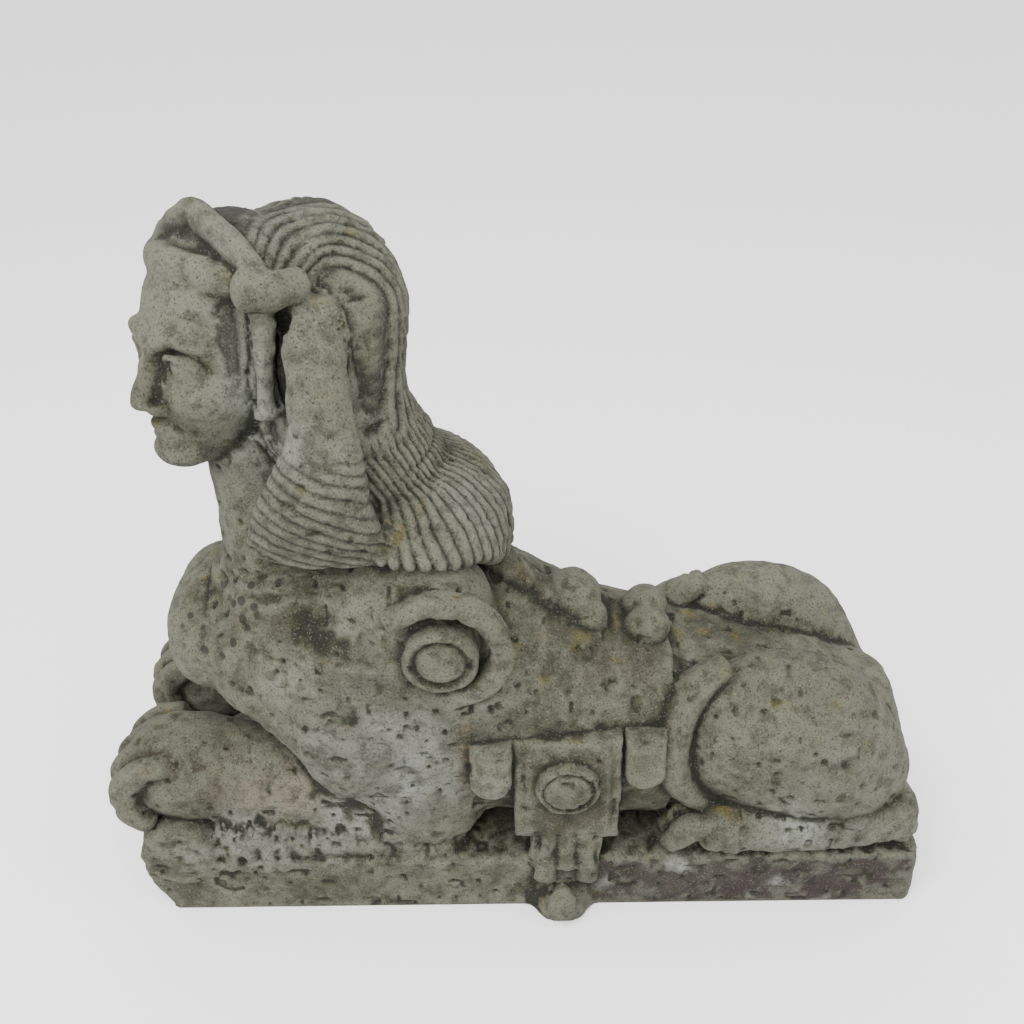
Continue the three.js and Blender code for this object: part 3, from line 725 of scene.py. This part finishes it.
def thinned(piece, triangles):
    """Collapses edges where the surface is plain, down to a number of triangles."""
    now = sum(len(p.vertices) - 2 for p in piece.data.polygons)
    thin = piece.modifiers.new("thin", "DECIMATE")
    thin.ratio = min(triangles / now, 1.0)
    view = bpy.context.evaluated_depsgraph_get()
    made = bpy.data.meshes.new_from_object(piece.evaluated_get(view))
    piece.modifiers.clear()
    piece.data = made


thinned(sphinx, TRIANGLES)

# ---- Stone ---------------------------------------------------------------------------------

GREY = (0.048, 0.048, 0.030)
PALE = (0.105, 0.108, 0.078)
BROWN = (0.026, 0.020, 0.011)
# Near-black used as painted shade in hollows and in the grooves between locks.
PAINTED_SHADE = (0.008, 0.008, 0.005)
# Moss colour, also used as painted shade in hollows and on faces that point down.
MOSS_AND_SHADE = (0.022, 0.026, 0.007)
MAROON = (0.024, 0.016, 0.014)
PEACH = (0.170, 0.135, 0.095)
RUST = (0.070, 0.032, 0.012)
WHITE = (0.250, 0.260, 0.235)
OCHRE = (0.090, 0.068, 0.011)


def near(spots, place, radii):
    """1 at a place, falling to 0 over the given radii."""
    return np.exp(-(((spots - place) / radii) ** 2).sum(axis=1))


def laid(colours, tint, share):
    """The colours with a share of a tint laid over them."""
    share = np.clip(share, 0, 1)[:, None]
    return colours * (1 - share) + np.array(tint) * share


def sunk(piece, spots, normals, rounds):
    """How far each point of a mesh lies below its smoothed neighbourhood, in millimetres."""
    ends = np.empty(2 * len(piece.data.edges), np.int32)
    piece.data.edges.foreach_get("vertices", ends)
    ends = ends.reshape(-1, 2)
    start, end = np.concatenate([ends, ends[:, ::-1]]).T
    count = np.bincount(start, minlength=len(spots))[:, None]
    soft = spots.astype(float)
    for _ in range(rounds):
        soft = np.stack([np.bincount(start, soft[end, k], len(spots)) for k in range(3)], axis=1) / count
    return ((soft - spots) * normals).sum(axis=1)


def weathering_and_painted_light(piece, spots, normals):
    """The broad colours of the stone, with painted shade in hollows, in the grooves between locks and on
    undersides, and painted highlights on bulges, lock ridges and the forearm.
    """
    x, y, z = spots.T
    hollow = sunk(piece, spots, normals, 5) / 1.4 + sunk(piece, spots, normals, 45) / 6
    patch = noise(spots, 70, 31) + 0.6 * noise(spots, 26, 32) + 0.4 * noise(spots, 9, 33)
    colours = np.tile(np.array(GREY), (len(spots), 1))
    colours = laid(colours, PALE, 0.45 + 0.9 * patch)
    dark = near(spots, (-430, -100, 210), (90, 70, 70)) + near(spots, (270, -110, 320), (120, 70, 70))
    dark += near(spots, (190, -150, 130), (60, 60, 40)) + near(spots, (26, -150, 180), (70, 26, 90))
    dark += 0.8 * near(spots, (60, -60, 330), (110, 80, 60)) + near(spots, (-110, -150, 394), (42, 20, 42))
    dark += 0.6 * near(spots, (-350, -60, 430), (70, 90, 60))
    dark += 0.5 * near(spots, (-430, 100, 210), (90, 70, 70))
    colours = laid(colours, BROWN, 0.75 * dark + 0.35 * noise(spots, 40, 34))
    light = near(spots, (-190, -140, 240), (90, 50, 110)) + near(spots, (-330, -130, 120), (110, 40, 40))
    light += near(spots, (330, -140, 120), (90, 40, 22))
    light += 0.7 * near(spots, (-250, -90, 620), (60, 70, 110))
    light += 0.6 * near(spots, (-260, 20, 790), (80, 80, 50))
    light += 0.5 * near(spots, (-70, -80, 530), (40, 70, 40))
    light += 0.5 * near(spots, (330, -140, 200), (70, 40, 60))
    colours = laid(colours, WHITE, 0.62 * light * (0.8 + 0.5 * patch))
    # Peach tint with a painted highlight along the forearm's ridge.
    colours = laid(colours, PEACH, 0.55 * near(spots, (-300, -132, 180), (70, 40, 40)))
    slab = 1 - ramp(z, 68, 80)
    colours = laid(colours, MAROON, slab * ramp(x, 10, 70) * (0.75 + 0.5 * patch))
    flaked = slab * ramp(x, 40, 90) * ramp(noise(spots, 32, 35), 0.3, 0.6)
    colours = laid(colours, WHITE, 0.8 * flaked)
    colours = laid(colours, RUST, 0.8 * near(spots, (-88, -146, 240), (7, 20, 55)))
    lichen = ramp(noise(spots, 18, 36), 0.5, 0.7) * ramp(normals[:, 2], 0.1, 0.6)
    colours = laid(colours, OCHRE, 0.6 * lichen)
    # Moss with painted shade in hollows.
    colours = laid(colours, MOSS_AND_SHADE, ramp(hollow, 0.15, 0.7) * (0.8 + 0.4 * noise(spots, 30, 37)))
    # Painted shade on faces that point down, in the moss colour.
    colours = laid(colours, MOSS_AND_SHADE, 0.55 * ramp(-normals[:, 2], 0.2, 0.9))
    # Near-black painted shade deep in hollows.
    colours = laid(colours, PAINTED_SHADE, 0.95 * ramp(hollow, 0.5, 1.3))
    # Painted highlight on outward bulges.
    colours = laid(colours, PALE, 0.6 * ramp(-hollow, 0.6, 1.6))
    ridge, groove = strands(spots)
    # Painted shade in the grooves between locks.
    colours = laid(colours, PAINTED_SHADE, 0.85 * ramp(groove, 0.2, 0.8))
    # Painted highlight on the ridges of the locks.
    colours = laid(colours, PALE, 0.45 * ramp(ridge, 2.0, 3.4))
    return colours


def kept(piece, name, kind, values):
    """Stores a value for each point of a mesh."""
    held = piece.data.attributes.new(name, kind, "POINT")
    held.data.foreach_set("color" if kind == "FLOAT_COLOR" else "value", values.astype(np.float32).ravel())


spots, normals = surface(sphinx)
colours = weathering_and_painted_light(sphinx, spots, normals)
# Stone colours, painted shade and painted highlights, stored for the material.
kept(sphinx, "weathering_and_painted_light", "FLOAT_COLOR", np.hstack([colours, np.ones((len(spots), 1))]))
x, y, z = spots.T
chest = near(spots, (-350, -110, 410), (75, 60, 60)) + 0.7 * near(spots, (-60, -120, 300), (70, 60, 80))
kept(sphinx, "spotted", "FLOAT", chest + 0.35 * ramp(normals[:, 2], 0.0, 0.7))

stone_material = bpy.data.materials.new("limestone")
stone_material.use_nodes = True
tree = stone_material.node_tree
shader = tree.nodes["Principled BSDF"]


def node(kind, inputs=(), **settings):
    """A shader node with its settings, its inputs set or linked by name or number."""
    made = tree.nodes.new(kind)
    for name, value in settings.items():
        setattr(made, name, value)
    for name, value in dict(inputs).items():
        if isinstance(value, bpy.types.NodeSocket):
            tree.links.new(value, made.inputs[name])
        else:
            made.inputs[name].default_value = value
    return made


def grain(place, scale, detail, rough):
    kind = dict(Vector=place, Scale=scale, Detail=detail, Roughness=rough)
    return node("ShaderNodeTexNoise", kind).outputs["Fac"]


def stepped(value, low, high, start=0.0, end=1.0):
    limits = {"Value": value, "From Min": low, "From Max": high, "To Min": start, "To Max": end}
    return node("ShaderNodeMapRange", limits, interpolation_type="SMOOTHSTEP").outputs["Result"]


def mixed(share, below, above, blend="MIX"):
    layers = {0: share, 6: below, 7: above}
    return node("ShaderNodeMix", layers, data_type="RGBA", blend_type=blend).outputs[2]


place = node("ShaderNodeTexCoord").outputs["Object"]
broad = node("ShaderNodeAttribute", attribute_name="weathering_and_painted_light").outputs["Color"]
spotted = node("ShaderNodeAttribute", attribute_name="spotted").outputs["Fac"]
fine = grain(place, 1000, 3, 0.7)
middle = grain(place, 400, 4, 0.7)
coarse = grain(place, 60, 6, 0.65)
colour = mixed(stepped(coarse, 0.45, 0.66, 0.0, 0.55), broad, (0.014, 0.014, 0.008, 1))
colour = mixed(stepped(coarse, 0.44, 0.30, 0.0, 0.3), colour, (0.110, 0.114, 0.090, 1))
colour = mixed(stepped(middle, 0.56, 0.70, 0.0, 0.45), colour, (0.190, 0.196, 0.172, 1))
colour = mixed(stepped(middle, 0.47, 0.34, 0.0, 0.8), colour, (0.006, 0.006, 0.004, 1))
colour = mixed(stepped(fine, 0.60, 0.74, 0.0, 0.45), colour, (0.250, 0.256, 0.232, 1))
colour = mixed(stepped(fine, 0.43, 0.30, 0.0, 0.7), colour, (0.006, 0.006, 0.004, 1))
cells = node("ShaderNodeTexVoronoi", {"Vector": place, "Scale": 55}).outputs["Distance"]
both_there = {0: stepped(cells, 0.42, 0.22), 1: stepped(spotted, 0.35, 0.9)}
lichen = node("ShaderNodeMath", both_there, operation="MULTIPLY").outputs[0]
colour = mixed(stepped(lichen, 0.2, 0.9, 0.0, 0.75), colour, (0.009, 0.009, 0.007, 1))
tree.links.new(colour, shader.inputs["Base Color"])
tree.links.new(stepped(middle, 0.3, 0.7, 0.82, 1.0), shader.inputs["Roughness"])
shader.inputs["Specular IOR Level"].default_value = 0.25
rise = node("ShaderNodeMath", {0: fine, 1: middle}, operation="ADD").outputs[0]
bump = node("ShaderNodeBump", {"Height": rise, "Strength": 0.8, "Distance": 0.0016})
tree.links.new(bump.outputs["Normal"], shader.inputs["Normal"])
sphinx.data.materials.clear()
sphinx.data.materials.append(stone_material)

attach(sphinx, "root")
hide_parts("sphinx_statue")

# ---- Camera, floor and light ---------------------------------------------------------------

scene = bpy.context.scene
camera = bpy.data.objects.new("camera", bpy.data.cameras.new("camera"))
camera.data.lens = 35.83
camera.data.sensor_width = 36
camera.location = (-0.034, -0.959, 1.094)
camera.rotation_euler = (math.radians(90 - 32.4), 0, 0)
camera.rotation_mode = "XYZ"
camera.rotation_euler.rotate_axis("Z", math.radians(-0.7))
scene.collection.objects.link(camera)
scene.camera = camera

floor_mesh = bpy.data.meshes.new("floor")
floor_mesh.from_pydata([(-30, -30, 0), (30, -30, 0), (30, 30, 0), (-30, 30, 0)], [], [(0, 1, 2, 3)])
floor = bpy.data.objects.new("floor", floor_mesh)
scene.collection.objects.link(floor)
paper = bpy.data.materials.new("paper")
paper.use_nodes = True
paper.node_tree.nodes["Principled BSDF"].inputs["Base Color"].default_value = (0.92, 0.92, 0.92, 1)
paper.node_tree.nodes["Principled BSDF"].inputs["Roughness"].default_value = 0.9
floor.data.materials.append(paper)

world = bpy.data.worlds.new("studio")
scene.world = world
world.use_nodes = True
world.node_tree.nodes["Background"].inputs["Color"].default_value = (1, 1, 1, 1)
world.node_tree.nodes["Background"].inputs["Strength"].default_value = 1.9


def lamp(name, place, target, size, power):
    light = bpy.data.lights.new(name, "AREA")
    light.size = size
    light.energy = power
    piece = bpy.data.objects.new(name, light)
    piece.location = place
    piece.rotation_euler = (Vector(target) - Vector(place)).to_track_quat("-Z", "Y").to_euler()
    scene.collection.objects.link(piece)


lamp("key", (-0.9, -1.6, 3.0), (0, 0, 0.4), 2.2, 170)
lamp("fill", (2.5, -1.5, 2.0), (0, 0, 0.4), 3.0, 40)
